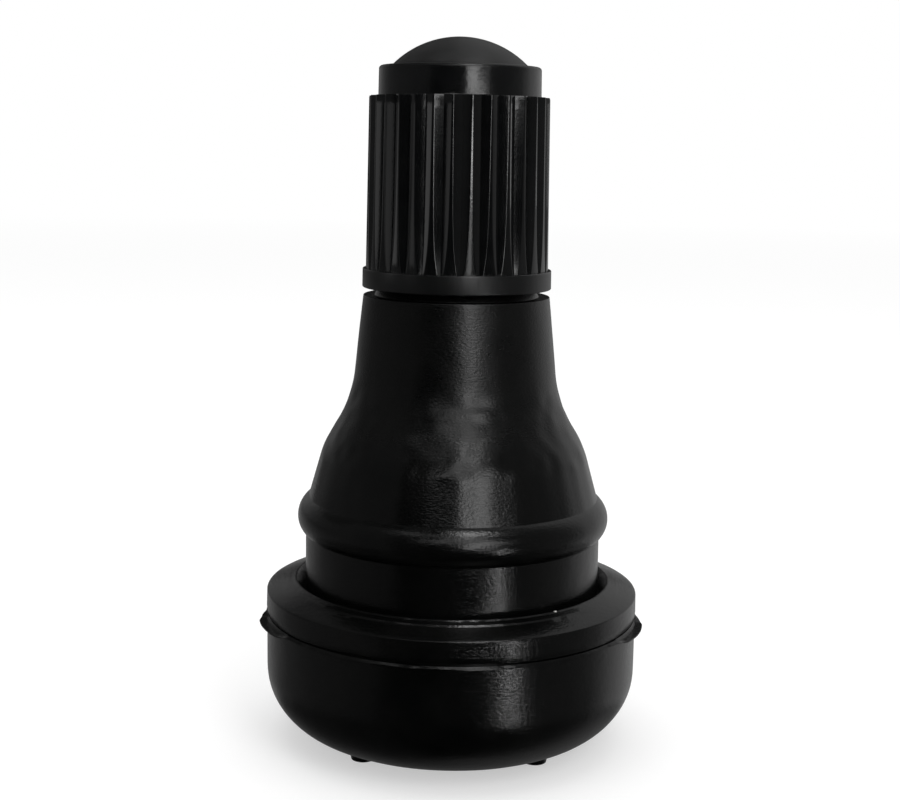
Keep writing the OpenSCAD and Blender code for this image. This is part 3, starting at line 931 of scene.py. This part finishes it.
# Core
def make_spring():
    """Coil of round wire at one length; in the valve it is squashed when the pin is pressed."""
    base, top = low("core_spring"), high("core_spring")
    coil_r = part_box("core_spring")[1].x / MM - WIRE_R
    count = SPRING_TURNS * SPRING_STEPS
    rings = []
    for i in range(count + 1):
        angle = TURN * i / SPRING_STEPS
        z = base + WIRE_R + (top - base - 2 * WIRE_R) * i / count
        ring = []
        for w in even_angles(WIRE_SIDES):
            r = coil_r + WIRE_R * math.cos(w)
            ring.append((r * math.cos(angle), r * math.sin(angle), z + WIRE_R * math.sin(w)))
        rings.append(ring)
    faces = bands(rings)
    faces.append(tuple(range(WIRE_SIDES)))
    faces.append(tuple(count * WIRE_SIDES + k for k in reversed(range(WIRE_SIDES))))
    spring = add_piece("core_spring_coil", flat(rings), faces, WIRE, 60)
    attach(spring, "valve")
    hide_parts("core_spring")
    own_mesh(spring)


def dress_cad_nodes():
    """Materials for the CAD nodes that stay as they are."""
    finish = {
        "cap_seal": SEAL_RUBBER, "cup_seal": SEAL_RUBBER, "barrel_gasket": GASKET,
        "core_plug": CORE_BRASS, "core_barrel": CORE_BRASS, "core_pin": CORE_BRASS, "seal_cup": CORE_BRASS}
    for node, material in finish.items():
        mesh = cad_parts[node].data
        mesh.materials.clear()
        mesh.materials.append(material)


# Floor, in metres
FLOOR_HALF = 8.0
FLOOR_GREY = (0.62, 0.62, 0.62, 1)
FLOOR_LIFT = 0.49
FLOOR_FADE = (0.03, 0.6)


def floor_material():
    """Pale grey that the camera sees lifted to white, and plain white far from the object."""
    material, tree, shader = new_material("floor")
    tree.feed(shader["Base Color"], FLOOR_GREY)
    tree.feed(shader["Roughness"], 1.0)
    tree.feed(shader["Specular IOR Level"], 0.0)
    seen = tree.add("LightPath").outputs["Is Camera Ray"]
    distance = tree.vector("LENGTH", tree.place())["Value"]
    far = tree.ramp(distance, [(FLOOR_FADE[0], 0.0), (FLOOR_FADE[1], 1.0)])

    lift = tree.add("Emission")
    tree.feed(lift.inputs["Strength"], tree.times(seen, FLOOR_LIFT))
    near = tree.add("AddShader")
    tree.feed(near.inputs[0], tree.nodes["Principled BSDF"].outputs[0])
    tree.feed(near.inputs[1], lift.outputs[0])
    mix = tree.add("MixShader")
    tree.feed(mix.inputs[0], tree.times(far, seen))
    tree.feed(mix.inputs[1], near.outputs[0])
    tree.feed(mix.inputs[2], tree.add("Emission").outputs[0])
    tree.feed(tree.nodes["Material Output"].inputs["Surface"], mix.outputs[0])
    return material


def make_floor():
    """Wide pale floor that keeps the shadow."""
    half = FLOOR_HALF
    mesh = bpy.data.meshes.new("floor")
    corners = [(-half, -half, 0), (half, -half, 0), (half, half, 0), (-half, half, 0)]
    mesh.from_pydata(corners, [], [(0, 1, 2, 3)])
    mesh.materials.append(floor_material())
    floor = add_object("floor", mesh)
    floor.visible_glossy = False


# Tent for reflections, in metres, with its grey by azimuth
TENT_R = 0.8
TENT_Z = 0.02
TENT_GREYS = [
    (-180, 0.3), (-150, 0.24), (-120, 0.12), (-60, 0.09), (-46, 0.08), (-40, 0.006), (8, 0.006),
    (44, 0.02), (52, 0.09), (70, 0.11), (95, 0.17), (116, 0.5), (132, 0.5), (150, 0.45), (180, 0.3)]
# Darker parts of the tent: two azimuths and their softness, two heights on the unit sphere and their
# softness, share of the grey that is taken away
TENT_SHADES = [
    (164.0, 200.0, 2.0, 0.02, 0.42, 0.02, 0.9),
    (-200.0, -164.0, 2.0, 0.02, 0.42, 0.02, 0.9),
    (-200.0, -100.0, 5.0, 0.42, 2.0, 0.04, 0.6),
    (-200.0, 200.0, 5.0, -2.0, -0.46, 0.04, 0.65),
    (-175.0, -98.0, 5.0, -0.08, 0.008, 0.012, 0.5)]
# Bright panels on the tent: the same, but for their glow at the end
TENT_PANELS = [
    (-60.0, 60.0, 4.0, 0.79, 0.86, 0.01, 1.0),
    (14.0, 48.0, 4.0, 0.88, 0.97, 0.01, 8.0),
    (-24.0, -4.0, 4.0, 0.42, 0.5, 0.01, 1.6)]
# Bright leaning strip, by height on the unit sphere: azimuth of its middle, half width in degrees,
# level of its light and level of the fainter light to its right
STRIP_AZIMUTHS = [
    (-0.5, 50.0), (-0.4, 47.0), (-0.37, 44.0), (-0.345, 37.5), (-0.3, 36.5), (-0.285, 33.5), (-0.22, 34.0),
    (-0.06, 13.0), (-0.02, 16.0), (0.05, 16.5), (0.055, 15.0), (0.078, 15.0), (0.1, 18.0), (0.2, 18.0),
    (0.25, 16.5), (0.285, 25.0), (0.42, 23.0), (0.48, 9.0), (0.58, 9.0), (0.7, 15.0)]
STRIP_HALF_WIDTHS = [
    (-0.24, 2.4), (-0.04, 3.6), (0.015, 4.0), (0.03, 5.0), (0.05, 5.0), (0.055, 3.2), (0.078, 3.2),
    (0.09, 8.0), (0.18, 10.0), (0.25, 6.0), (0.285, 14.5), (0.42, 13.5), (0.48, 24.0), (0.58, 24.0),
    (0.7, 5.0)]
STRIP_LEVELS = [
    (-0.42, 0.0), (-0.385, 0.12), (-0.365, 0.2), (-0.345, 1.15), (-0.3, 1.2), (-0.285, 3.4), (-0.27, 1.6),
    (-0.23, 0.3), (-0.18, 0.05), (-0.075, 0.04), (-0.055, 0.3), (-0.03, 0.14), (-0.012, 0.06),
    (0.004, 0.08), (0.03, 1.2), (0.05, 0.9), (0.055, 0.6), (0.075, 0.6), (0.08, 0.75), (0.1, 0.42),
    (0.14, 0.2), (0.22, 0.2), (0.25, 0.75), (0.28, 0.24), (0.34, 0.25), (0.4, 0.34), (0.46, 0.09),
    (0.58, 0.09), (0.72, 0.38), (1.0, 0.3)]
BESIDE_LEVELS = [(0.05, 0.0), (0.06, 0.25), (0.08, 1.0), (0.2, 0.8), (0.45, 0.35)]
STRIP_GLOW = 12.0
STRIP_SOFT = 0.27
BESIDE_GLOW = 1.2
# Start, end and softness of the light beside the strip, in degrees from the strip's middle
BESIDE_REACH = (4.0, 26.0, 2.0)
# Ramps hold azimuths and half widths as shares of these
AZIMUTH_UNIT = 90.0
WIDTH_UNIT = 10.0


def glow_material(name):
    """Empty material; returns it with its tree, azimuth in degrees and height on the unit sphere."""
    material = bpy.data.materials.new(name)
    tree = Tree(material)
    tree.nodes.clear()
    unit = tree.split(tree.vector("NORMALIZE", tree.place())[0])
    to_front = tree.times(unit["Y"], -1.0)
    azimuth = tree.calc("DEGREES", tree.calc("ARCTAN2", unit["X"], to_front))
    return material, tree, azimuth, unit["Z"]


def by_azimuth(tree, azimuth, levels):
    """Level by azimuth."""
    turn = tree.plus(tree.calc("DIVIDE", azimuth, 360.0), 0.5)
    return tree.ramp(turn, [(a / 360 + 0.5, level) for a, level in levels])


def by_height(tree, height, levels, unit=1.0):
    """Level by height on the unit sphere, held in the ramp as shares of a unit."""
    along = tree.plus(tree.times(height, 0.5), 0.5)
    return tree.times(tree.ramp(along, [(h / 2 + 0.5, level / unit) for h, level in levels]), unit)


def finish_glow(thing, material, tree, level):
    """Light of a level given by a socket, on a thing that only reflections show."""
    glow = tree.add("Emission")
    tree.feed(glow.inputs["Strength"], level)
    tree.feed(tree.add("OutputMaterial").inputs["Surface"], glow.outputs[0])
    thing.data.materials.append(material)
    thing.visible_camera = False
    thing.visible_diffuse = False
    thing.visible_transmission = False
    thing.visible_shadow = False


def strip_light(tree, azimuth, height):
    """Light of the leaning strip and of the fainter stretch to its right."""
    middle = by_height(tree, height, STRIP_AZIMUTHS, AZIMUTH_UNIT)
    half_width = by_height(tree, height, STRIP_HALF_WIDTHS, WIDTH_UNIT)
    off = tree.minus(azimuth, middle)
    core = tree.between(tree.calc("DIVIDE", off, half_width), -1.0, 1.0, STRIP_SOFT)
    beside = tree.times(tree.between(off, *BESIDE_REACH), by_height(tree, height, BESIDE_LEVELS))
    light = tree.plus(tree.times(core, STRIP_GLOW), tree.times(beside, BESIDE_GLOW))
    return tree.times(by_height(tree, height, STRIP_LEVELS), light)


def make_tent():
    """Dim tent seen only in reflections: dark in front, lighter sides and back, one bright strip."""
    bpy.ops.mesh.primitive_uv_sphere_add(segments=64, ring_count=32, radius=TENT_R, location=(0, 0, TENT_Z))
    tent = bpy.context.object
    tent.name = "tent"
    material, tree, azimuth, height = glow_material("tent")

    def patch(left, right, side_soft, bottom, top, end_soft):
        """1 on a patch of the tent."""
        across = tree.between(azimuth, left, right, side_soft)
        return tree.times(across, tree.between(height, bottom, top, end_soft))

    level = by_azimuth(tree, azimuth, TENT_GREYS)
    for *place, share in TENT_SHADES:
        level = tree.times(level, tree.minus(1.0, tree.times(patch(*place), share)))
    level = tree.plus(level, strip_light(tree, azimuth, height))
    for *place, glow in TENT_PANELS:
        level = tree.plus(level, tree.times(patch(*place), glow))
    finish_glow(tent, material, tree, level)


# Cards that only the cap mirrors: distance from the axis, then name, heights and glow by azimuth
CARD_DISTANCE = 12.0
CARDS = [
    ("left_card", 25.2, 34.7, [
        (-79, 0.0), (-76, 0.8), (-66, 0.7), (-64, 0.0), (-52, 0.0), (-50, 0.5), (-43, 0.4)]),
    ("right_card", 28.4, 34.7, [(92, 0.0), (95, 1.3), (103, 1.3), (106, 0.0)])]


def make_card(name, bottom, top, levels):
    """Curved card close beside the cap, with a column for each degree."""
    first, last = levels[0][0], levels[-1][0]
    columns = last - first
    vertices = []
    for i in range(columns + 1):
        turn = math.radians(first + i)
        x, y = CARD_DISTANCE * math.sin(turn), -CARD_DISTANCE * math.cos(turn)
        vertices += [Vector((x, y, bottom)) * MM, Vector((x, y, top)) * MM]
    mesh = bpy.data.meshes.new(name)
    mesh.from_pydata(vertices, [], [(2 * i, 2 * i + 2, 2 * i + 3, 2 * i + 1) for i in range(columns)])
    card = add_object(name, mesh)
    material, tree, azimuth, _ = glow_material(name)
    finish_glow(card, material, tree, by_azimuth(tree, azimuth, levels))
    lit = bpy.data.collections.new(name + "_lights")
    lit.objects.link(bpy.data.objects["valve_cap_moulding"])
    card.light_linking.receiver_collection = lit


WORLD_FILL = 0.65


def make_world():
    """White to the camera and in reflections, a softer white as fill light."""
    world = bpy.data.worlds.new("studio")
    bpy.context.scene.world = world
    tree = Tree(world)
    back = tree.nodes["Background"].inputs
    tree.feed(back["Color"], (1, 1, 1, 1))
    path = tree.add("LightPath").outputs
    mirrored = tree.calc("MAXIMUM", path["Is Glossy Ray"], path["Is Transmission Ray"])
    seen = tree.calc("MAXIMUM", path["Is Camera Ray"], mirrored)
    tree.feed(back["Strength"], tree.plus(tree.times(seen, 1 - WORLD_FILL), WORLD_FILL))


# Lamps, in metres: name, place, width, height, radiance
LAMPS = [
    ("key_soft", (0.12, -0.22, 0.2), 0.12, 0.2, 3.0),
    ("top_soft", (0.0, 0.02, 0.34), 0.3, 0.3, 1.2)]
LAMP_TARGET = (0, 0, 0.02)


def make_lamp(name, place, width, height, radiance):
    """Rectangular lamp of a given radiance that faces the valve and isn't mirrored in it."""
    data = bpy.data.lights.new(name, "AREA")
    data.shape = "RECTANGLE"
    data.size, data.size_y = width, height
    data.energy = radiance * math.pi * width * height
    lamp = add_object(name, data)
    lamp.location = place
    lamp.rotation_euler = (Vector(LAMP_TARGET) - Vector(place)).to_track_quat("-Z", "Y").to_euler()
    lamp.visible_glossy = False


# Camera fitted to the photograph: focal length and width in its pixels, place, angles in degrees
FOCAL_PIXELS = 1556
PHOTO_WIDTH = 900
SENSOR_WIDTH = 36.0
CAMERA_PLACE = (-0.247, -81.45, 31.54)
CAMERA_DOWN = 9.25
CAMERA_ROLL = 0.97


def make_camera():
    """Camera that sees the valve as the photograph does."""
    data = bpy.data.cameras.new("camera")
    data.sensor_width = SENSOR_WIDTH
    data.lens = FOCAL_PIXELS / PHOTO_WIDTH * SENSOR_WIDTH
    data.clip_start = 0.002
    data.clip_end = 50.0
    camera = add_object("camera", data)
    place = Matrix.Translation(Vector(CAMERA_PLACE) * MM)
    pitch = Matrix.Rotation(math.radians(90 - CAMERA_DOWN), 4, "X")
    roll = Matrix.Rotation(math.radians(CAMERA_ROLL), 4, "Z")
    camera.matrix_world = place @ pitch @ roll
    bpy.context.scene.camera = camera


make_camera()
make_body()
make_stem()
make_cap()
make_spring()
dress_cad_nodes()
make_floor()
make_tent()
for card in CARDS:
    make_card(*card)
make_world()
for lamp in LAMPS:
    make_lamp(*lamp)
bpy.context.scene.view_settings.view_transform = "Standard"
